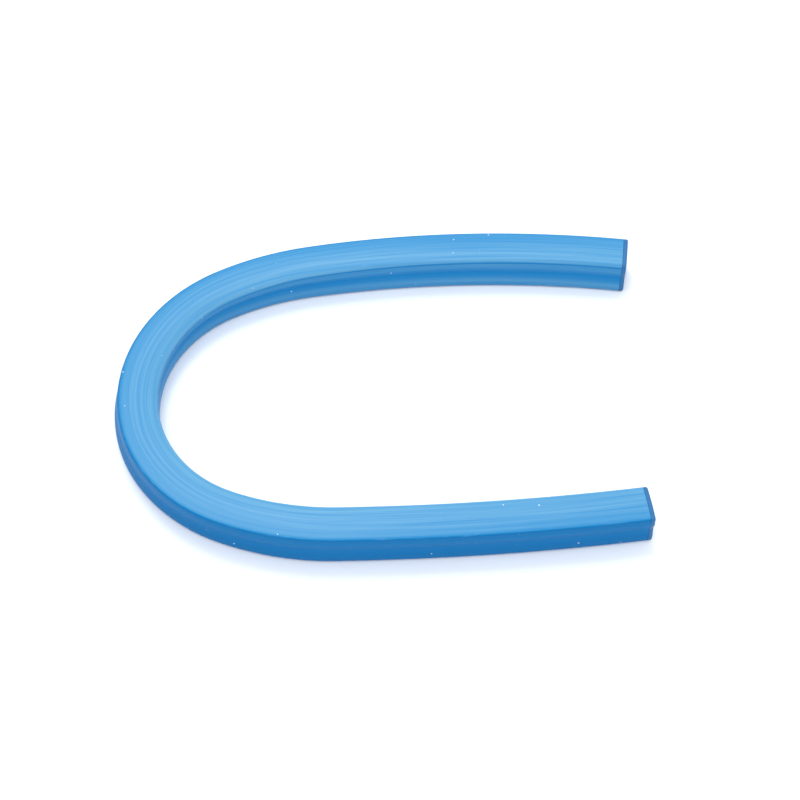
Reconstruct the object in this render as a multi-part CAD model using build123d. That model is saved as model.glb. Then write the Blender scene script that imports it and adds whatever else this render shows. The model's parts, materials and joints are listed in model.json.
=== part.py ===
from build123d import *
from collections import namedtuple
from math import cos, degrees, radians, sin
import os

# A flexible drawing curve, 30 cm long, lying flat and bent into a U that opens towards +X.
# Millimetres, +Z up. The origin is under the middle of the whole outline, on the surface it lies on.
# Distances "along the curve" start at the free end of the lower leg (-Y side), go round the bend
# (-X side) and finish at the free end of the upper leg (+Y side). The curve always turns right.

# Whole curve
total_length = 300.0            # over both end plugs, along the middle of the section
segment_count = 13              # odd, so that one segment is the middle of the bend

# The U, as tangent arcs; the two turns of the bend meet at its point furthest towards -X
lower_leg_radius = 620.0
lower_leg_length = 76.0
lower_shoulder_radius = 70.0
lower_shoulder_turn = 23.0
bend_radius = 38.5
lower_bend_turn = 68.0
upper_bend_turn = 62.0
upper_shoulder_radius = 75.0
upper_shoulder_turn = 18.0
upper_leg_radius = 285.0

# Sheath section: a square strip with a lip along the top and bottom of each side wall
section_width = 10.0
section_height = 10.0
corner_radius = 1.0
recess_height = 3.0             # of the shallow channel between the two lips
recess_depth = 0.35

# What the sheath holds: a lead bar between two spring-steel strips
core_width = 4.0
core_height = 5.6
strip_thickness = 0.5
bore_clearance = 0.1            # all round the core and strips

# End plugs
plug_head_thickness = 1.2
plug_head_chamfer = 0.4
spigot_length = 7.0
spigot_clearance = 0.15
spigot_chamfer = 0.5
core_setback = 1.0              # from the tip of the spigot to the end of the core

stack_width = core_width + 2 * strip_thickness
bore_width = stack_width + 2 * bore_clearance
bore_height = core_height + 2 * bore_clearance
sheath_start = plug_head_thickness
sheath_end = total_length - plug_head_thickness
segment_length = (sheath_end - sheath_start) / segment_count
core_start = sheath_start + spigot_length + core_setback
core_end = total_length - core_start
shortest_run = 1e-6             # a shorter stretch of an arc is only rounding error

Arc = namedtuple("Arc", "start end radius centre_x centre_y heading")


def walk_route():
    """The arcs of the U in order, each with its centre and its heading where it starts."""
    lower_leg_turn = degrees(lower_leg_length / lower_leg_radius)
    turns = [
        (lower_leg_radius, lower_leg_turn),
        (lower_shoulder_radius, lower_shoulder_turn),
        (bend_radius, lower_bend_turn + upper_bend_turn),
        (upper_shoulder_radius, upper_shoulder_turn),
    ]
    length_so_far = sum(radius * radians(turn) for radius, turn in turns)
    upper_leg_turn = degrees((total_length - length_so_far) / upper_leg_radius)
    turns.append((upper_leg_radius, upper_leg_turn))

    # between its two turns the bend heads along +Y
    heading = 90 + lower_bend_turn + lower_shoulder_turn + lower_leg_turn
    x = 0.0
    y = 0.0
    start = 0.0
    arcs = []
    for radius, turn in turns:
        centre_x = x + radius * sin(radians(heading))
        centre_y = y - radius * cos(radians(heading))
        end = start + radius * radians(turn)
        arcs.append(Arc(start, end, radius, centre_x, centre_y, heading))
        heading -= turn
        x = centre_x - radius * sin(radians(heading))
        y = centre_y + radius * cos(radians(heading))
        start = end
    return arcs


route = walk_route()


def arc_at(distance):
    """The arc that holds this distance along the curve."""
    for arc in route:
        if distance < arc.end:
            return arc
    return route[-1]


def heading_at(distance):
    """Direction of the curve in degrees from +X, at this distance along it."""
    arc = arc_at(distance)
    return arc.heading - degrees((distance - arc.start) / arc.radius)


def section_plane(distance):
    """Plane across the curve: its x points out of the U, its y up, its z along the curve."""
    arc = arc_at(distance)
    heading = radians(heading_at(distance))
    x = arc.centre_x - arc.radius * sin(heading)
    y = arc.centre_y + arc.radius * cos(heading)
    return Plane(
        origin=(x, y, section_height / 2),
        x_dir=(-sin(heading), cos(heading), 0),
        z_dir=(cos(heading), sin(heading), 0),
    )


def run_along(section, start, end):
    """The solid that this section makes between two distances along the curve."""
    solid = None
    for arc in route:
        first = max(start, arc.start)
        last = min(end, arc.end)
        if last - first < shortest_run:
            continue
        axis = Axis((arc.centre_x, arc.centre_y, 0), (0, 0, -1))
        angle = degrees((last - first) / arc.radius)
        piece = revolve(section_plane(first) * section, axis, angle)
        solid = piece if solid is None else solid + piece
    return solid


def outline():
    """Outer shape of the sheath's section, with the shallow channel in each side wall."""
    block = Rectangle(section_width, section_height)
    shape = fillet(block.vertices(), corner_radius)
    for side in (-1, 1):
        channel = Rectangle(2 * recess_depth, recess_height)
        shape -= Pos(side * section_width / 2, 0) * channel
    return shape


def sheath_section():
    return outline() - Rectangle(bore_width, bore_height)


def core_section():
    return Rectangle(core_width, core_height)


def strip_section(side):
    """One spring strip, against the core: side is 1 on the outside of the U and -1 on the inside."""
    offset = side * (core_width + strip_thickness) / 2
    return Pos(offset, 0) * Rectangle(strip_thickness, core_height)


def end_plug(distance, outward):
    """Moulded plug: a head that closes the end of the sheath and a spigot that sits in its bore."""
    plane = section_plane(distance)
    head = extrude(plane * outline(), outward * plug_head_thickness)
    rim = head.faces().sort_by(Axis(plane.origin, plane.z_dir * outward))[-1]
    head = chamfer(rim.edges(), plug_head_chamfer)
    spigot_width = bore_width - 2 * spigot_clearance
    spigot_height = bore_height - 2 * spigot_clearance
    spigot = extrude(plane * Rectangle(spigot_width, spigot_height), -outward * spigot_length)
    tip = spigot.faces().sort_by(Axis(plane.origin, plane.z_dir * -outward))[-1]
    spigot = chamfer(tip.edges(), spigot_chamfer)
    return head + spigot


def build_nodes():
    """Every piece by name, in the frame of the route."""
    nodes = {}
    full_length_pieces = {
        "sheath": (sheath_section(), sheath_start, sheath_end),
        "lead_core": (core_section(), core_start, core_end),
        "inner_strip": (strip_section(-1), core_start, core_end),
        "outer_strip": (strip_section(1), core_start, core_end),
    }
    for number in range(1, segment_count + 1):
        start = sheath_start + (number - 1) * segment_length
        end = start + segment_length
        for name, (section, first, last) in full_length_pieces.items():
            piece = run_along(section, max(start, first), min(end, last))
            nodes[f"{name}_{number:02d}"] = piece
    nodes["end_plug_lower"] = end_plug(sheath_start, -1)
    nodes["end_plug_upper"] = end_plug(sheath_end, 1)
    return nodes


def middle_of(nodes):
    """Middle of the whole outline, seen from above."""
    box = Compound(children=[part.solids()[0] for part in nodes.values()]).bounding_box()
    return (box.min.X + box.max.X) / 2, (box.min.Y + box.max.Y) / 2


nodes = build_nodes()
middle_x, middle_y = middle_of(nodes)
os.makedirs("parts", exist_ok=True)
for name, part in nodes.items():
    placed = Pos(-middle_x, -middle_y, 0) * part
    placed.label = name
    export_step(placed, f"parts/{name}.step")
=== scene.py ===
import json
import math

import bpy
import numpy as np
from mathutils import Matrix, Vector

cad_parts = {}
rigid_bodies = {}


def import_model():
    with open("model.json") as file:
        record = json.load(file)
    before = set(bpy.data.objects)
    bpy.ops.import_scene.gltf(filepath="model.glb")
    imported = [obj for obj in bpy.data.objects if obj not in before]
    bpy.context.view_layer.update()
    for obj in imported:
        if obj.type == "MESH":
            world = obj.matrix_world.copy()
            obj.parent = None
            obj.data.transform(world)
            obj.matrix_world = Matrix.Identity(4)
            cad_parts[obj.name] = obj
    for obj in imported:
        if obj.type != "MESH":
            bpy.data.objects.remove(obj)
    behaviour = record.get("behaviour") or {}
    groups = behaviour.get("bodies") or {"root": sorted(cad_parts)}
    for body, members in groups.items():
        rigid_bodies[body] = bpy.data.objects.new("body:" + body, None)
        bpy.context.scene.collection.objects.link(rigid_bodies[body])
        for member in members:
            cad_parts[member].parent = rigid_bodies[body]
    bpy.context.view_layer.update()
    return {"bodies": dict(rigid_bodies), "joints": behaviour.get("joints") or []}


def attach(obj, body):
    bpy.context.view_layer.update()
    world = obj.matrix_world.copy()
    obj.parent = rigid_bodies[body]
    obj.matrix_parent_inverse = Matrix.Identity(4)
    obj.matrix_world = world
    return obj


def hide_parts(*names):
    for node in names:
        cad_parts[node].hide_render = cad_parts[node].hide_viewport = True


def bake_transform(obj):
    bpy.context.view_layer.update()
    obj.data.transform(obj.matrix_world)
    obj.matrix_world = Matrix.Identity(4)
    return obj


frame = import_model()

MM = 0.001

# ---------------------------------------------------------------- the curve's own sizes, as in the CAD
TOTAL_LENGTH = 300 * MM
SECTION_WIDTH = 10.0 * MM
SECTION_HEIGHT = 10.0 * MM
CORE_WIDTH = 4.0 * MM
CORE_HEIGHT = 5.6 * MM
STRIP_THICKNESS = 0.5 * MM
BORE_CLEARANCE = 0.1 * MM
PLUG_HEAD = 1.2 * MM
SPIGOT_LENGTH = 7.0 * MM
SPIGOT_CLEARANCE = 0.15 * MM
SPIGOT_CHAMFER = 0.5 * MM
CORE_SETBACK = 1.0 * MM           # from the tip of a spigot to the end of the core

LOWER_LEG_RADIUS = 620 * MM
LOWER_LEG_LENGTH = 76 * MM
LOWER_SHOULDER_RADIUS = 70 * MM
LOWER_SHOULDER_TURN = math.radians(23)
BEND_RADIUS = 38.5 * MM
LOWER_BEND_TURN = math.radians(68)
UPPER_BEND_TURN = math.radians(62)
UPPER_SHOULDER_RADIUS = 75 * MM
UPPER_SHOULDER_TURN = math.radians(18)
UPPER_LEG_RADIUS = 285 * MM

# ---------------------------------------------------------------- finish of the visible shape
OUTER_CORNER_RADIUS = 0.55 * MM   # of the top corner on the outside of the U
INNER_CORNER_RADIUS = 0.9 * MM
BASE_CORNER_RADIUS = 0.8 * MM
TOP_CROWN = 0.38 * MM             # how far the middle of the top stands above its edges
BASE_CROWN = 0.15 * MM
# heights above the middle of the section: top, deepest place and base of the long hollows in each wall
CHANNEL = (2.2 * MM, 0.1 * MM, -3.6 * MM)
CHANNEL_DEPTH = 0.45 * MM
OUTER_CREASE = (4.45 * MM, 4.25 * MM, 2.9 * MM)
INNER_CREASE = (3.95 * MM, 3.75 * MM, 2.5 * MM)
CREASE_DEPTH = 0.16 * MM
SIDE_STARTS = 3.75 * MM           # out from the middle of the section; the hollows fade in from here
# the strip is upright on the lower leg and then twists: round the bend its foot stands outwards and on
# the upper leg inwards, by these parts of its height
LEAN_AT_BEND = 0.26
LEAN_OF_UPPER_LEG = -0.088
UPRIGHT_UNTIL = 80 * MM           # along the curve
LEANING_FROM = 120 * MM
FOOT_SPREAD = 0.2                 # part by which its foot is wider than its top round the bend
SHOULDER_SINK = 1.4 * MM          # of its inner top corner there
TWIST_REACH = 48 * MM             # of the twist round the bend, each way along the curve
TWIST_SHIFT = 19 * MM             # of its middle, on from where the bend is furthest towards -X
BORE_CORNER_RADIUS = 0.2 * MM
CORE_CORNER_RADIUS = 0.3 * MM
STRIP_CORNER_RADIUS = 0.1 * MM

BORE_WIDTH = CORE_WIDTH + 2 * STRIP_THICKNESS + 2 * BORE_CLEARANCE
BORE_HEIGHT = CORE_HEIGHT + 2 * BORE_CLEARANCE
SHEATH_START = PLUG_HEAD
SHEATH_END = TOTAL_LENGTH - PLUG_HEAD
CORE_START = SHEATH_START + SPIGOT_LENGTH + CORE_SETBACK
CORE_END = TOTAL_LENGTH - CORE_START
SEGMENTS = len(frame["bodies"])
SEGMENT_LENGTH = (SHEATH_END - SHEATH_START) / SEGMENTS
TWIST_MIDDLE = (
    LOWER_LEG_LENGTH
    + LOWER_SHOULDER_RADIUS * LOWER_SHOULDER_TURN
    + BEND_RADIUS * LOWER_BEND_TURN
    + TWIST_SHIFT
)

# ---------------------------------------------------------------- fineness of the meshes
RING_SPACING = 0.5 * MM           # along the sheath
INNER_RING_SPACING = 1.0 * MM     # along the core and its two springs
LOOP_POINTS = 160                 # round the sheath, its bore and the plugs
INNER_LOOP_POINTS = 48
CORNER_POINTS = 33                # on each rounded corner of an outline, as it is first drawn
OUTLINE_POINTS = 4001             # round an outline, as it is first drawn
CORNER_WEIGHT = 0.8 * MM          # length of straight outline that counts as much as a radian of turn
INNER_CORNER_WEIGHT = 0.5 * MM
SHARP_ANGLE = math.radians(40)    # edges that turn more than this stay sharp
PLUG_SHARP_ANGLE = math.radians(35)


# ---------------------------------------------------------------- the route
TURN_TO_SPARE = 1.0               # radians of the upper leg's arc, which is cut off at the curve's end


def walk_route():
    """The arcs of the U: start, radius, centre x, centre y and first heading of each. All turn right."""
    turns = [
        (LOWER_LEG_RADIUS, LOWER_LEG_LENGTH / LOWER_LEG_RADIUS),
        (LOWER_SHOULDER_RADIUS, LOWER_SHOULDER_TURN),
        (BEND_RADIUS, LOWER_BEND_TURN + UPPER_BEND_TURN),
        (UPPER_SHOULDER_RADIUS, UPPER_SHOULDER_TURN),
        (UPPER_LEG_RADIUS, TURN_TO_SPARE),
    ]
    heading = math.pi / 2 + LOWER_BEND_TURN + LOWER_SHOULDER_TURN + turns[0][1]
    x = 0.0
    y = 0.0
    start = 0.0
    arcs = []
    for radius, turn in turns:
        centre_x = x + radius * math.sin(heading)
        centre_y = y - radius * math.cos(heading)
        arcs.append((start, radius, centre_x, centre_y, heading))
        heading -= turn
        x = centre_x - radius * math.sin(heading)
        y = centre_y + radius * math.cos(heading)
        start += radius * turn
    return np.array(arcs)


ROUTE = walk_route()


def along_route(distance):
    """x, y and heading of the middle of the strip at these distances along it, before it is aligned."""
    distance = np.atleast_1d(distance)
    which = np.searchsorted(ROUTE[:, 0], distance, side="right") - 1
    start, radius, centre_x, centre_y, first = ROUTE[np.clip(which, 0, None)].T
    heading = first - (distance - start) / radius
    return centre_x - radius * np.sin(heading), centre_y + radius * np.cos(heading), heading


def route_offset():
    """What moves the route onto the frame: the first flex joint is one segment from the sheath's end."""
    x, y, _ = along_route(SHEATH_START + SEGMENT_LENGTH)
    pivot = frame["joints"][0]["pos_m"]
    return pivot[0] - x[0], pivot[1] - y[0]


OFFSET_X, OFFSET_Y = route_offset()


def past_lower_leg(distances):
    """A smooth step from 0 on the lower leg to 1 on the rest of the curve."""
    part = np.clip((distances - UPRIGHT_UNTIL) / (LEANING_FROM - UPRIGHT_UNTIL), 0, 1)
    return part**2 * (3 - 2 * part)


def carried(loops, distances, swollen=True):
    """A loop of section points at each distance along the route, as rings of points in the frame.

    loops has one loop for every distance, or a single loop for all of them. In a loop, x points out of
    the U and y up from mid height. Where the strip twists, a swollen section widens at its foot and its
    inner shoulder sinks.
    """
    x, y, heading = along_route(distances)
    twist = np.exp(-(((distances - TWIST_MIDDLE) / TWIST_REACH) ** 2))[:, None]
    swell = twist if swollen else 0 * twist
    section_x = loops[..., 0]
    section_y = loops[..., 1]
    below_top = 0.5 - section_y / SECTION_HEIGHT
    lean = LEAN_OF_UPPER_LEG * past_lower_leg(distances)[:, None] + LEAN_AT_BEND * twist
    out = section_x * (1 + FOOT_SPREAD * swell * below_top) - lean * section_y
    inwards = np.clip(-2 * section_x / SECTION_WIDTH, 0, 1)
    upper = np.clip(2 * section_y / SECTION_HEIGHT, 0, 1)
    up = section_y + SECTION_HEIGHT / 2 - SHOULDER_SINK * swell * inwards**2 * upper
    ring_x = (x + OFFSET_X)[:, None] - np.sin(heading)[:, None] * out
    ring_y = (y + OFFSET_Y)[:, None] + np.cos(heading)[:, None] * out
    return np.stack([ring_x, ring_y, up], axis=-1)


# ---------------------------------------------------------------- section loops
def picked(points, measure, spots):
    """The points of an outline where the running measure of its points reaches these spots."""
    return np.stack([np.interp(spots, measure, points[:, k]) for k in (0, 1)], axis=1)


def evenly_spaced(points, count, corner_weight):
    """count points round a closed outline, closer together where it turns more."""
    steps = np.diff(points, axis=0)
    lengths = np.linalg.norm(steps, axis=1)
    angles = np.unwrap(np.arctan2(steps[:, 1], steps[:, 0]))
    turns = np.abs(np.diff(angles, prepend=angles[0]))
    effort = np.concatenate([[0], np.cumsum(lengths + corner_weight * turns)])
    spots = np.linspace(0, effort[-1], count, endpoint=False)
    return picked(points, effort, spots)


def rounded_rectangle(width, height, base_radius, outer_radius, inner_radius):
    """Closely spaced points round a rectangle with rounded corners, from the middle of its underside.

    The radii are those of both bottom corners, the top corner at +x and the top corner at -x.
    """
    side = width / 2
    top = height / 2
    corners = [
        (side - base_radius, base_radius - top, base_radius, -math.pi / 2),
        (side - outer_radius, top - outer_radius, outer_radius, 0),
        (inner_radius - side, top - inner_radius, inner_radius, math.pi / 2),
        (base_radius - side, base_radius - top, base_radius, math.pi),
    ]
    points = [(0.0, -top)]
    for x, y, radius, first in corners:
        for angle in np.linspace(first, first + math.pi / 2, CORNER_POINTS):
            points.append((x + radius * math.cos(angle), y + radius * math.sin(angle)))
    points.append((0.0, -top))
    points = np.array(points)
    lengths = np.concatenate([[0], np.cumsum(np.linalg.norm(np.diff(points, axis=0), axis=1))])
    return picked(points, lengths, np.linspace(0, lengths[-1], OUTLINE_POINTS))


def hollow(height, places, depth):
    """How deep a smooth hollow is at each height, from the heights of its top, deepest place and base."""
    top, deepest, base = places
    reach = np.where(height > deepest, top - deepest, deepest - base)
    return depth * np.clip(1 - ((height - deepest) / reach) ** 2, 0, 1) ** 2


def sheath_loop():
    """Outside of the sheath: rounded corners, crowned top and base, a channel and crease in each side."""
    outline = rounded_rectangle(
        SECTION_WIDTH, SECTION_HEIGHT, BASE_CORNER_RADIUS, OUTER_CORNER_RADIUS, INNER_CORNER_RADIUS
    )
    x, y = outline.T
    depth = hollow(y, CHANNEL, CHANNEL_DEPTH)
    depth += np.where(x > 0, hollow(y, OUTER_CREASE, CREASE_DEPTH), hollow(y, INNER_CREASE, CREASE_DEPTH))
    on_side = np.clip((np.abs(x) - SIDE_STARTS) / (SECTION_WIDTH / 2 - SIDE_STARTS), 0, 1)
    crown = np.where(y > 0, TOP_CROWN, BASE_CROWN) * (2 * x / SECTION_WIDTH) ** 2
    shaped_y = y * (1 - crown / (SECTION_HEIGHT / 2))
    shaped = np.stack([x - np.sign(x) * depth * on_side, shaped_y], axis=1)
    return evenly_spaced(shaped, LOOP_POINTS, CORNER_WEIGHT)


def plain_loop(width, height, radius):
    """A rectangle with four equal corners, with as many points as the sheath's loop."""
    outline = rounded_rectangle(width, height, radius, radius, radius)
    return evenly_spaced(outline, LOOP_POINTS, CORNER_WEIGHT)


def bar_loop(width, radius, offset=0.0):
    """The section of a bar as tall as the core, moved out of the middle of the strip by offset."""
    outline = rounded_rectangle(width, CORE_HEIGHT, radius, radius, radius)
    return evenly_spaced(outline, INNER_LOOP_POINTS, INNER_CORNER_WEIGHT) + np.array([offset, 0.0])


# ---------------------------------------------------------------- meshes along the route
def surface_normals(loop, distances, spacing, facing, swollen):
    """Normals of the swept surface at every ring point, from its slopes both ways."""
    small = spacing / 4
    ahead = carried(loop, distances + small, swollen) - carried(loop, distances - small, swollen)
    rings = carried(loop, distances, swollen)
    around = np.roll(rings, -1, axis=1) - np.roll(rings, 1, axis=1)
    normals = np.cross(around, ahead) * facing
    return normals / np.linalg.norm(normals, axis=-1, keepdims=True)


def perimeter(loop):
    """Distance round the loop at each of its points, and back at the first one."""
    steps = np.linalg.norm(np.roll(loop, -1, axis=0) - loop, axis=1)
    return np.concatenate([[0], np.cumsum(steps)])


def side_faces(first, rings, count, flip):
    """Quads between neighbouring rings of count points, which start at this mesh point."""
    faces = []
    for ring in range(rings - 1):
        low = first + ring * count
        for point in range(count):
            beside = (point + 1) % count
            quad = (low + point, low + beside, low + count + beside, low + count + point)
            faces.append(quad[::-1] if flip else quad)
    return faces


def end_faces(rings, count, has_bore):
    """The two ends: a ring of quads between the outside and the bore, or one flat face."""
    last = (rings - 1) * count
    if not has_bore:
        return [tuple(range(count))[::-1], tuple(range(last, last + count))]
    faces = []
    inside = rings * count
    for point in range(count):
        beside = (point + 1) % count
        near = (point, inside + point, inside + beside, beside)
        faces.append(near)
        far = tuple(last + index for index in near)
        faces.append(far[::-1])
    return faces


def strip_faces(rings, count, has_bore):
    """All faces of a piece of strip, those on its sides first, and how many are on its sides."""
    sides = side_faces(0, rings, count, False)
    if has_bore:
        sides += side_faces(rings * count, rings, count, True)
    return sides + end_faces(rings, count, has_bore), len(sides)


def smooth_mesh(name, points, faces, sharp_angle):
    """A smooth-shaded mesh whose sharper edges stay sharp."""
    mesh = bpy.data.meshes.new(name)
    mesh.from_pydata(points.tolist(), [], faces)
    mesh.polygons.foreach_set("use_smooth", [True] * len(faces))
    mesh.set_sharp_from_angle(angle=sharp_angle)
    return mesh


def corner_points(mesh):
    """The mesh point that each face corner uses."""
    points = np.zeros(len(mesh.loops), np.int64)
    mesh.loops.foreach_get("vertex_index", points)
    return points


def set_uv_map(mesh, name, places):
    """A UV map in millimetres, from two lengths for every face corner."""
    layer = mesh.uv_layers.new(name=name)
    layer.data.foreach_set("uv", (places / MM).astype(np.float32).ravel())


def set_strip_coordinates(mesh, distances, around, count, sides):
    """The UV map "strip": u along the curve, v round its section.

    around has the running length round the loop of each surface. The quads that close a loop end at its
    whole length, not back at 0.
    """
    surface, rest = np.divmod(corner_points(mesh), len(distances) * count)
    ring, point = np.divmod(rest, count)
    v = np.array([lengths[:-1] for lengths in around])[surface, point]
    whole = np.array([lengths[-1] for lengths in around])[surface]
    side_v = v[: 4 * sides].reshape(-1, 4)
    side_whole = whole[: 4 * sides].reshape(-1, 4)
    closing = side_v.max(axis=1) - side_v.min(axis=1) > side_whole[:, 0] / 2
    side_v += side_whole * (closing[:, None] & (side_v == 0))
    set_uv_map(mesh, "strip", np.stack([distances[ring], v], axis=1))


def set_normals(mesh, point_normals, sides):
    """The swept surface's own normals on its sides, so that neighbouring pieces shade as one."""
    corner_normals = point_normals[corner_points(mesh)]
    for face in mesh.polygons[sides:]:
        corners = slice(face.loop_start, face.loop_start + face.loop_total)
        corner_normals[corners] = face.normal
    mesh.normals_split_custom_set(corner_normals.tolist())


def placed(name, mesh, material):
    """The mesh as an object of the scene, with its material."""
    mesh.materials.append(material)
    piece = bpy.data.objects.new(name, mesh)
    bpy.context.scene.collection.objects.link(piece)
    return piece


def strip_piece(name, outer, start, end, spacing, material, bore=None):
    """A closed length of strip between two distances, hollow if it has a bore, with true normals."""
    distances = np.linspace(start, end, round((end - start) / spacing) + 1)
    count = len(outer)
    rings = len(distances)
    # each loop, which way it faces and whether it swells where the strip twists
    surfaces = [(outer, 1, False)] if bore is None else [(outer, 1, True), (bore, -1, False)]
    faces, sides = strip_faces(rings, count, bore is not None)
    points = []
    normals = []
    section = []
    for loop, facing, swollen in surfaces:
        points.append(carried(loop, distances, swollen).reshape(-1, 3))
        normals.append(surface_normals(loop, distances, spacing, facing, swollen).reshape(-1, 3))
        section.append(np.tile(loop, (rings, 1)))
    mesh = smooth_mesh(name, np.concatenate(points), faces, SHARP_ANGLE)
    around = [perimeter(loop) for loop, _, _ in surfaces]
    set_strip_coordinates(mesh, distances, around, count, sides)
    set_uv_map(mesh, "section", np.concatenate(section)[corner_points(mesh)])
    set_normals(mesh, np.concatenate(normals), sides)
    return placed(name, mesh, material)


# ---------------------------------------------------------------- materials
# colours are red, green and blue, in linear light
SHEATH_BLUE = (0.001, 0.190, 0.470)
SHEATH_PAINTED_SHADE = (0.001, 0.150, 0.395)    # painted shade on the wall outside the U
# the next colour is painted sheen: paler where light reflects off the raised faces
SHEATH_PAINTED_SHEEN = (0.135, 0.356, 0.550)
# painted sheen over the painted shade on the wall outside the U
PAINTED_SHADE_SHEEN = (0.012, 0.270, 0.530)
PLUG_BLUE = (0.003, 0.110, 0.300)
PLUG_HAZE = (0.020, 0.150, 0.360)
# pale scuff marks on the top corners; they also paint the brighter rim of light there
SCUFF_AND_RIM_HIGHLIGHT = (0.130, 0.370, 0.640)
DUST = (0.75, 0.84, 0.93)
LEAD_DARK = (0.16, 0.17, 0.185)
LEAD_BLOOM = (0.34, 0.345, 0.35)
STEEL_DULL = (0.42, 0.43, 0.45)
STEEL_BRIGHT = (0.6, 0.61, 0.63)
PVC_IOR = 1.53

# (height above the middle of the section in millimetres, amount of painted sheen) up each wall and over
# the top; high amounts paint sheen and low ones paint shade in the channels and under the creases
INNER_PAINTED_SHEEN = (
    (-5.0, 0.2), (-4.4, 0.6), (-3.8, 0.45), (-2.4, 0.45), (-1.4, 0.15), (0.0, 0.0), (1.4, 0.2),
    (2.8, 0.38), (3.3, 0.38), (3.5, 0.0), (3.9, 0.05), (4.2, 0.72), (5.0, 0.75),
)
OUTER_PAINTED_SHEEN = (
    (-5.0, 0.05), (-3.0, 0.0), (0.0, 0.0), (2.0, 0.08), (3.2, 0.14), (3.7, 0.1),
    (3.9, 0.0), (4.58, 0.0), (4.7, 0.45), (5.0, 0.5),
)
# (height, amount) of the scuff marks on each top corner, which also paint its brighter rim of light
SCUFFED_AND_LIT_CORNER = ((4.4, 0.0), (4.55, 1.0), (4.7, 1.0), (4.85, 0.0))

# millimetres out from the middle of the section
PAINTED_SHEEN_CROSSES = (-3, 3)            # from the inner painted sheen to the outer
PAINTED_SHADE_SPREADS = (3.8, 4.9)         # from the plain blue to the painted shade

DUST_CELLS = 0.11                 # for each millimetre; a cell holds one speck at most
DUST_SIZE = 0.024                 # radius of the largest speck, as a part of a cell
DUST_EDGE = 0.006                 # over which a speck fades out, likewise


def new_material(name):
    """A material with its nodes, links and main shader."""
    material = bpy.data.materials.new(name)
    material.use_nodes = True
    nodes = material.node_tree.nodes
    return material, nodes, material.node_tree.links, nodes["Principled BSDF"]


def strip_coordinates(nodes, links, along, across):
    """The strip's UV map in millimetres, stretched by these factors along and round the strip."""
    uv = nodes.new("ShaderNodeUVMap")
    uv.uv_map = "strip"
    mapping = nodes.new("ShaderNodeMapping")
    mapping.inputs["Scale"].default_value = (along, across, 1)
    links.new(uv.outputs["UV"], mapping.inputs["Vector"])
    return mapping.outputs["Vector"]


def noise(nodes, links, vector, scale, detail, roughness):
    texture = nodes.new("ShaderNodeTexNoise")
    texture.inputs["Scale"].default_value = scale
    texture.inputs["Detail"].default_value = detail
    texture.inputs["Roughness"].default_value = roughness
    links.new(vector, texture.inputs["Vector"])
    return texture.outputs["Fac"]


def ranged(nodes, links, value, source, target):
    """The value scaled from the source range to the target range, and held inside it."""
    scale = nodes.new("ShaderNodeMapRange")
    for socket, number in zip(("From Min", "From Max", "To Min", "To Max"), (*source, *target)):
        scale.inputs[socket].default_value = number
    links.new(value, scale.inputs["Value"])
    return scale.outputs["Result"]


def mixed_colour(nodes, links, factor, first, second):
    """From the first colour to the second by a factor; each is a tuple or a socket."""
    mix = nodes.new("ShaderNodeMix")
    mix.data_type = "RGBA"
    links.new(factor, mix.inputs["Factor"])
    for socket, colour in (("A", first), ("B", second)):
        target = [s for s in mix.inputs if s.name == socket and s.type == "RGBA"][0]
        if isinstance(colour, tuple):
            target.default_value = (*colour, 1)
        else:
            links.new(colour, target)
    return [s for s in mix.outputs if s.type == "RGBA"][0]


def mixed_number(nodes, links, factor, first, second):
    mix = nodes.new("ShaderNodeMix")
    mix.data_type = "FLOAT"
    for socket, value in zip(("Factor", "A", "B"), (factor, first, second)):
        links.new(value, mix.inputs[socket])
    return mix.outputs["Result"]


def bump(nodes, links, height, strength, distance, below=None):
    """A normal that follows this height, on top of the normal below it."""
    node = nodes.new("ShaderNodeBump")
    node.inputs["Strength"].default_value = strength
    node.inputs["Distance"].default_value = distance
    links.new(height, node.inputs["Height"])
    if below is not None:
        links.new(below, node.inputs["Normal"])
    return node.outputs["Normal"]


def maths(nodes, links, operation, first, second):
    """A maths node on two sockets or numbers."""
    node = nodes.new("ShaderNodeMath")
    node.operation = operation
    for socket, value in zip(node.inputs, (first, second)):
        if isinstance(value, float):
            socket.default_value = value
        else:
            links.new(value, socket)
    return node.outputs["Value"]


def section_place(nodes, links):
    """Millimetres out of the U and up, from the middle of the section."""
    uv = nodes.new("ShaderNodeUVMap")
    uv.uv_map = "section"
    parts = nodes.new("ShaderNodeSeparateXYZ")
    links.new(uv.outputs["UV"], parts.inputs["Vector"])
    return parts.outputs["X"], parts.outputs["Y"]


def banded(nodes, links, value, stops):
    """A number that runs straight between these (value, number) stops."""
    low = stops[0][0]
    high = stops[-1][0]
    ramp = nodes.new("ShaderNodeValToRGB")
    elements = ramp.color_ramp.elements
    for place, _ in stops[1:-1]:
        elements.new((place - low) / (high - low))
    for element, (_, number) in zip(elements, stops):
        element.color = (number, number, number, 1)
    links.new(ranged(nodes, links, value, (low, high), (0, 1)), ramp.inputs["Fac"])
    return maths(nodes, links, "ADD", ramp.outputs["Color"], 0.0)


def dust(nodes, links):
    """Sparse round specks a few tenths of a millimetre across."""
    cells = nodes.new("ShaderNodeTexVoronoi")
    cells.voronoi_dimensions = "2D"
    cells.inputs["Scale"].default_value = DUST_CELLS
    links.new(strip_coordinates(nodes, links, 1.0, 1.0), cells.inputs["Vector"])
    tone = nodes.new("ShaderNodeSeparateColor")
    links.new(cells.outputs["Color"], tone.inputs["Color"])
    size = ranged(nodes, links, tone.outputs["Red"], (0.45, 1.0), (0.0, DUST_SIZE))
    inside = maths(nodes, links, "SUBTRACT", size, cells.outputs["Distance"])
    return ranged(nodes, links, inside, (0.0, DUST_EDGE), (0, 0.8))


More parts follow.
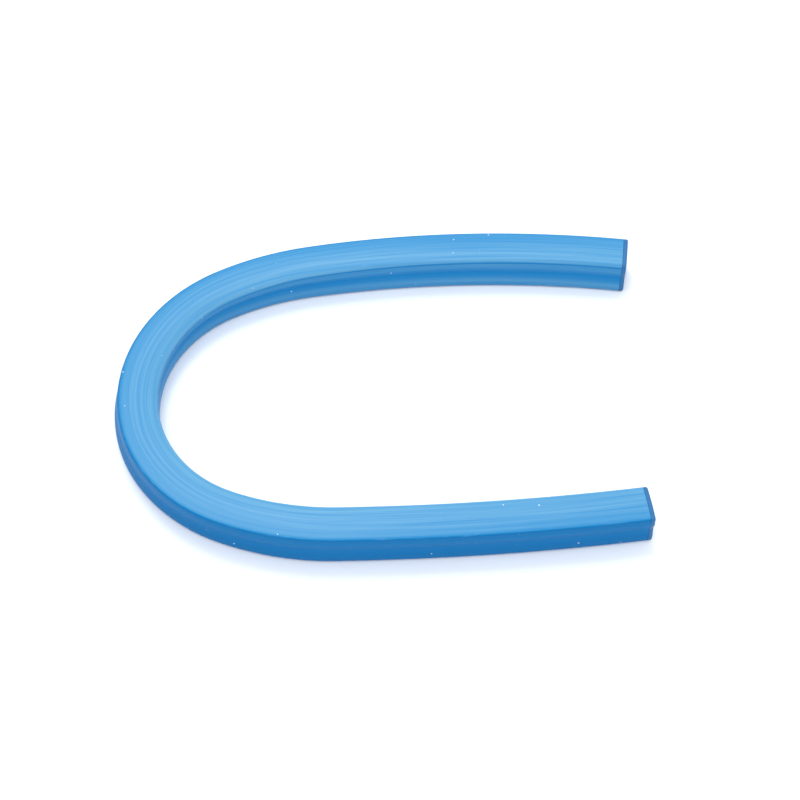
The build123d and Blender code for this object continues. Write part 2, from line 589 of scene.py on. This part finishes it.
def scuffs_and_rim_highlight(nodes, links, height):
    """Short patches of wear on the top corners, which also paint the brighter rim of light there."""
    patches = noise(nodes, links, strip_coordinates(nodes, links, 0.25, 1.5), 0.9, 3, 0.6)
    worn_and_lit = ranged(nodes, links, patches, (0.55, 0.75), (0, 0.35))
    corner = banded(nodes, links, height, SCUFFED_AND_LIT_CORNER)
    return maths(nodes, links, "MULTIPLY", worn_and_lit, corner)


def painted_sheen_profile(nodes, links, broad, lines):
    """How much painted sheen the sheath has: a profile up each side of its section, broken up by its
    streaks. Its high parts paint sheen and its low parts paint shade.
    """
    outwards, height = section_place(nodes, links)
    both = maths(nodes, links, "ADD", broad, lines)
    streaks = ranged(nodes, links, both, (0.75, 1.25), (0.5, 1.25))
    inner = maths(nodes, links, "MULTIPLY", banded(nodes, links, height, INNER_PAINTED_SHEEN), streaks)
    outer = maths(nodes, links, "MULTIPLY", banded(nodes, links, height, OUTER_PAINTED_SHEEN), streaks)
    crossing = ranged(nodes, links, outwards, PAINTED_SHEEN_CROSSES, (0, 1))
    return mixed_number(nodes, links, crossing, inner, outer)


def sheath_colour(nodes, links, painted_sheen):
    """The plain blue, with painted shade on the wall outside the U, under its painted sheen, scuff marks
    that also paint a rim highlight, and dust.
    """
    outwards, height = section_place(nodes, links)
    # painted shade: a darker blue on the wall outside the U
    outside = ranged(nodes, links, outwards, PAINTED_SHADE_SPREADS, (0, 1))
    plain = mixed_colour(nodes, links, outside, SHEATH_BLUE, SHEATH_PAINTED_SHADE)
    # the paler colours of the painted sheen
    bloom = mixed_colour(nodes, links, outside, SHEATH_PAINTED_SHEEN, PAINTED_SHADE_SHEEN)
    with_painted_sheen = mixed_colour(nodes, links, painted_sheen, plain, bloom)
    # scuff marks, which also paint a rim highlight on the top corners
    scuffed_and_lit = mixed_colour(nodes, links, scuffs_and_rim_highlight(nodes, links, height), with_painted_sheen, SCUFF_AND_RIM_HIGHLIGHT)
    return mixed_colour(nodes, links, dust(nodes, links), scuffed_and_lit, DUST)


def sheath_pvc():
    """Extruded PVC: streaks along the strip, painted sheen and shade on its faces, scuff marks that also
    paint a rim highlight, and dust.
    """
    material, nodes, links, shader = new_material("blue_pvc")
    broad = noise(nodes, links, strip_coordinates(nodes, links, 0.006, 0.9), 1.0, 2, 0.6)
    lines = noise(nodes, links, strip_coordinates(nodes, links, 0.012, 1.0), 2.4, 3, 0.6)
    fine = noise(nodes, links, strip_coordinates(nodes, links, 0.05, 1.0), 7.0, 2, 0.5)
    # painted sheen and shade, in bands round the section
    painted_sheen = painted_sheen_profile(nodes, links, broad, lines)
    links.new(sheath_colour(nodes, links, painted_sheen), shader.inputs["Base Color"])
    links.new(ranged(nodes, links, painted_sheen, (0, 0.8), (0.46, 0.30)), shader.inputs["Roughness"])
    normal = bump(nodes, links, broad, 0.7, 0.05 * MM)
    normal = bump(nodes, links, lines, 0.6, 0.025 * MM, normal)
    normal = bump(nodes, links, fine, 0.5, 0.01 * MM, normal)
    links.new(normal, shader.inputs["Normal"])
    shader.inputs["IOR"].default_value = PVC_IOR
    shader.inputs["Specular IOR Level"].default_value = 0.12
    return material


def plug_pvc():
    """Moulded PVC: an even satin surface with faint mottling and a few specks of dust."""
    material, nodes, links, shader = new_material("plug_pvc")
    place = strip_coordinates(nodes, links, 1.0, 1.0)
    mottle = noise(nodes, links, place, 0.8, 3, 0.55)
    grain = noise(nodes, links, place, 9.0, 2, 0.5)
    tint = mixed_colour(nodes, links, mottle, PLUG_BLUE, PLUG_HAZE)
    links.new(mixed_colour(nodes, links, dust(nodes, links), tint, DUST), shader.inputs["Base Color"])
    links.new(ranged(nodes, links, mottle, (0.3, 0.7), (0.38, 0.52)), shader.inputs["Roughness"])
    links.new(bump(nodes, links, grain, 0.4, 0.02 * MM), shader.inputs["Normal"])
    shader.inputs["IOR"].default_value = PVC_IOR
    shader.inputs["Specular IOR Level"].default_value = 0.35
    return material


def lead():
    """Cast and drawn lead: dull grey with a blotchy oxide bloom and soft draw marks."""
    material, nodes, links, shader = new_material("lead")
    bloom = noise(nodes, links, strip_coordinates(nodes, links, 1.0, 1.0), 0.9, 5, 0.6)
    marks = noise(nodes, links, strip_coordinates(nodes, links, 0.02, 1.0), 4.0, 3, 0.5)
    links.new(mixed_colour(nodes, links, bloom, LEAD_DARK, LEAD_BLOOM), shader.inputs["Base Color"])
    links.new(ranged(nodes, links, bloom, (0.3, 0.7), (0.45, 0.75)), shader.inputs["Roughness"])
    links.new(bump(nodes, links, marks, 0.5, 0.03 * MM), shader.inputs["Normal"])
    shader.inputs["Metallic"].default_value = 0.85
    return material


def spring_steel():
    """Rolled strip: bright grey with fine grain along its length."""
    material, nodes, links, shader = new_material("spring_steel")
    grain = noise(nodes, links, strip_coordinates(nodes, links, 0.01, 1.0), 9.0, 4, 0.6)
    stain = noise(nodes, links, strip_coordinates(nodes, links, 0.5, 1.0), 0.4, 3, 0.5)
    links.new(mixed_colour(nodes, links, stain, STEEL_DULL, STEEL_BRIGHT), shader.inputs["Base Color"])
    links.new(ranged(nodes, links, grain, (0.3, 0.7), (0.22, 0.42)), shader.inputs["Roughness"])
    links.new(bump(nodes, links, grain, 0.35, 0.01 * MM), shader.inputs["Normal"])
    shader.inputs["Metallic"].default_value = 1.0
    return material


# ---------------------------------------------------------------- the full-length pieces
BLEND_SPARE = 0.02                # radians added to how far an end section turns from square to the blend


def body_name(number):
    return f"segment_{number:02d}"


def segment_middle(number):
    """Distance along the curve to the middle of this segment."""
    return SHEATH_START + (number - 0.5) * SEGMENT_LENGTH


def blend_ends(number):
    """Where the bending across joint number starts and stops, clear of the piece's two end sections."""
    middles = np.array([segment_middle(number), segment_middle(number + 1)])
    x, y, heading = along_route(middles)
    points = np.stack([x + OFFSET_X, y + OFFSET_Y, np.full(2, SECTION_HEIGHT / 2)], axis=1)
    chord = points[1] - points[0]
    chord /= np.linalg.norm(chord)
    widest = SECTION_WIDTH / 2 * (1 + FOOT_SPREAD) + LEAN_AT_BEND * SECTION_HEIGHT / 2
    skew = abs(heading[0] - heading[1]) / 2 + BLEND_SPARE
    clear = chord * widest * math.sin(skew)
    return points[0] + clear, points[1] - clear


def full_length(family, node, start, end, spacing, material, outer, bore=None):
    """One strip as pieces from mid segment to mid segment; an end piece goes with its segment and a piece
    across a joint stays where it is made.
    """
    middles = [segment_middle(number) for number in range(1, SEGMENTS + 1)]
    stations = [start, *middles, end]
    for number in range(SEGMENTS + 1):
        first = stations[number]
        last = stations[number + 1]
        piece = strip_piece(f"{family}_{number:02d}", outer, first, last, spacing, material, bore)
        segments = [n for n in (number, number + 1) if 1 <= n <= SEGMENTS]
        if len(segments) == 2:
            low, high = blend_ends(number)
            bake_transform(piece)
        else:
            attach(piece, body_name(segments[0]))
        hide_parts(*[f"{node}_{n:02d}" for n in segments])


def sheath():
    bore = plain_loop(BORE_WIDTH, BORE_HEIGHT, BORE_CORNER_RADIUS)
    full_length(
        "sheath_skin", "sheath", SHEATH_START, SHEATH_END, RING_SPACING,
        sheath_pvc(), sheath_loop(), bore,
    )


def core():
    loop = bar_loop(CORE_WIDTH, CORE_CORNER_RADIUS)
    full_length("core_bar", "lead_core", CORE_START, CORE_END, INNER_RING_SPACING, lead(), loop)


def springs():
    steel = spring_steel()
    side = (CORE_WIDTH + STRIP_THICKNESS) / 2
    for family, node, offset in (
        ("inner_spring", "inner_strip", -side),
        ("outer_spring", "outer_strip", side),
    ):
        loop = bar_loop(STRIP_THICKNESS, STRIP_CORNER_RADIUS, offset)
        full_length(family, node, CORE_START, CORE_END, INNER_RING_SPACING, steel, loop)


# ---------------------------------------------------------------- end plugs
SPIGOT_CORNER_RADIUS = 0.4 * MM
SPIGOT_TIP = 0.84                 # part of the spigot's section that its tip has
ALMOST_CLOSED = 0.1               # part of a section that the flat face in its middle has
HEAD_UNDERCUT = 0.975             # part of the head's section where it meets the sheath
HEAD_FULL = 0.12 * MM             # out from the sheath to where the head has its whole section
HEAD_ROUNDING = 0.45 * MM
ROUNDING_RINGS = 7
DISH_DEPTH = 0.12 * MM
DISH_EDGE = 0.78                  # parts of the head's section round the dish, at its edge and floor
DISH_FLOOR = 0.74
DISH_MIDDLE = 1.5 * MM            # radii of the rings round the gate mark, in the middle of the dish
GATE_MOUTH = 0.9 * MM
GATE_FLOOR = 0.8 * MM
GATE_CLOSED = 0.1 * MM
GATE_DEPTH = 0.3 * MM


def spigot_rings():
    """(distance out from the sheath's end, loop) for each ring of a plug's spigot, from its tip."""
    wide = BORE_WIDTH - 2 * SPIGOT_CLEARANCE
    tall = BORE_HEIGHT - 2 * SPIGOT_CLEARANCE
    spigot = plain_loop(wide, tall, SPIGOT_CORNER_RADIUS)
    return [
        (-SPIGOT_LENGTH, spigot * ALMOST_CLOSED),
        (-SPIGOT_LENGTH, spigot * SPIGOT_TIP),
        (-SPIGOT_LENGTH + SPIGOT_CHAMFER, spigot),
        (0.0, spigot),
    ]


def head_rings():
    """The same for its head: a rounded rim, a shallow dish and the mark of the moulding gate."""
    outline = sheath_loop()
    angles = -math.pi / 2 + np.arange(LOOP_POINTS) / LOOP_POINTS * 2 * math.pi
    circle = np.stack([np.cos(angles), np.sin(angles)], axis=1)
    rings = [(0.0, outline * HEAD_UNDERCUT), (HEAD_FULL, outline)]
    for angle in np.linspace(0, math.pi / 2, ROUNDING_RINGS):
        inset = HEAD_ROUNDING * (1 - math.cos(angle))
        out = PLUG_HEAD - HEAD_ROUNDING * (1 - math.sin(angle))
        rings.append((out, outline * (1 - inset / (SECTION_WIDTH / 2))))
    rings += [
        (PLUG_HEAD, outline * DISH_EDGE),
        (PLUG_HEAD - DISH_DEPTH, outline * DISH_FLOOR),
        (PLUG_HEAD - DISH_DEPTH, circle * DISH_MIDDLE),
        (PLUG_HEAD - DISH_DEPTH, circle * GATE_MOUTH),
        (PLUG_HEAD - GATE_DEPTH, circle * GATE_FLOOR),
        (PLUG_HEAD - GATE_DEPTH, circle * GATE_CLOSED),
    ]
    return rings


def plug_piece(name, sheath_end, outward, material):
    """A moulded end plug, which points outward along the curve (1) or back along it (-1)."""
    rings = spigot_rings() + head_rings()
    distances = np.array([sheath_end + outward * out for out, _ in rings])
    loops = np.array([loop for _, loop in rings])
    points = carried(loops, distances).reshape(-1, 3)
    faces = side_faces(0, len(rings), LOOP_POINTS, outward < 0)
    last = (len(rings) - 1) * LOOP_POINTS
    caps = [tuple(range(LOOP_POINTS))[::-1], tuple(range(last, last + LOOP_POINTS))]
    faces += caps if outward > 0 else [cap[::-1] for cap in caps]
    mesh = smooth_mesh(name, points, faces, PLUG_SHARP_ANGLE)
    set_uv_map(mesh, "strip", loops.reshape(-1, 2)[corner_points(mesh)])
    return placed(name, mesh, material)


def end_plugs():
    material = plug_pvc()
    for name, node, sheath_end, outward, segment in (
        ("plug_lower", "end_plug_lower", SHEATH_START, -1, 1),
        ("plug_upper", "end_plug_upper", SHEATH_END, 1, SEGMENTS),
    ):
        piece = plug_piece(name, sheath_end, outward, material)
        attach(piece, body_name(segment))
        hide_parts(node)


# ---------------------------------------------------------------- floor, light and camera
FLOOR_GAP = 0.03 * MM
FLOOR_HALF = 3.0                  # metres
FLOOR_CORNERS = ((-1, -1), (1, -1), (1, 1), (-1, 1))
FLOOR_WHITE = (0.90, 0.93, 0.975)
SKY_WHITE = (0.955, 0.975, 1.0)
SKY_STRENGTH = 0.95
CAMERA_ELEVATION = math.radians(54)
CAMERA_DISTANCE = 445.7 * MM
CAMERA_LENS = 80.1                # this and the sensor are in the camera's own millimetres
SENSOR_WIDTH = 36
NEAREST_SEEN = 10 * MM
AIM = (5.2 * MM, -7.2 * MM, SECTION_HEIGHT)


def floor():
    corners = [(x * FLOOR_HALF, y * FLOOR_HALF, -FLOOR_GAP) for x, y in FLOOR_CORNERS]
    mesh = bpy.data.meshes.new("floor")
    mesh.from_pydata(corners, [], [(0, 1, 2, 3)])
    material, _, _, shader = new_material("floor")
    shader.inputs["Base Color"].default_value = (*FLOOR_WHITE, 1)
    shader.inputs["Roughness"].default_value = 0.6
    shader.inputs["Specular IOR Level"].default_value = 0.3
    placed("floor", mesh, material)


def softbox(name, place, size, power):
    """A rectangular light that points at the origin."""
    data = bpy.data.lights.new(name, "AREA")
    data.shape = "RECTANGLE"
    data.size, data.size_y = size
    data.energy = power
    light = bpy.data.objects.new(name, data)
    light.location = place
    light.rotation_euler = (-Vector(place)).to_track_quat("-Z", "Y").to_euler()
    bpy.context.scene.collection.objects.link(light)


def lighting():
    world = bpy.data.worlds.new("studio")
    world.use_nodes = True
    background = world.node_tree.nodes["Background"]
    background.inputs["Color"].default_value = (*SKY_WHITE, 1)
    background.inputs["Strength"].default_value = SKY_STRENGTH
    bpy.context.scene.world = world
    softbox("softbox_back", place=(-0.14, 0.55, 1.04), size=(0.4, 0.45), power=5.2)
    softbox("softbox_top", place=(0.1, -0.3, 1.3), size=(1.0, 1.0), power=5.5)


def camera():
    data = bpy.data.cameras.new("camera")
    data.lens = CAMERA_LENS
    data.sensor_width = SENSOR_WIDTH
    data.clip_start = NEAREST_SEEN
    eye = bpy.data.objects.new("camera", data)
    back = Vector((0, -math.cos(CAMERA_ELEVATION), math.sin(CAMERA_ELEVATION)))
    eye.location = Vector(AIM) + back * CAMERA_DISTANCE
    eye.rotation_euler = (math.pi / 2 - CAMERA_ELEVATION, 0, 0)
    bpy.context.scene.collection.objects.link(eye)
    bpy.context.scene.camera = eye


sheath()
core()
springs()
end_plugs()
floor()
lighting()
camera()
bpy.context.scene.view_settings.view_transform = "Standard"
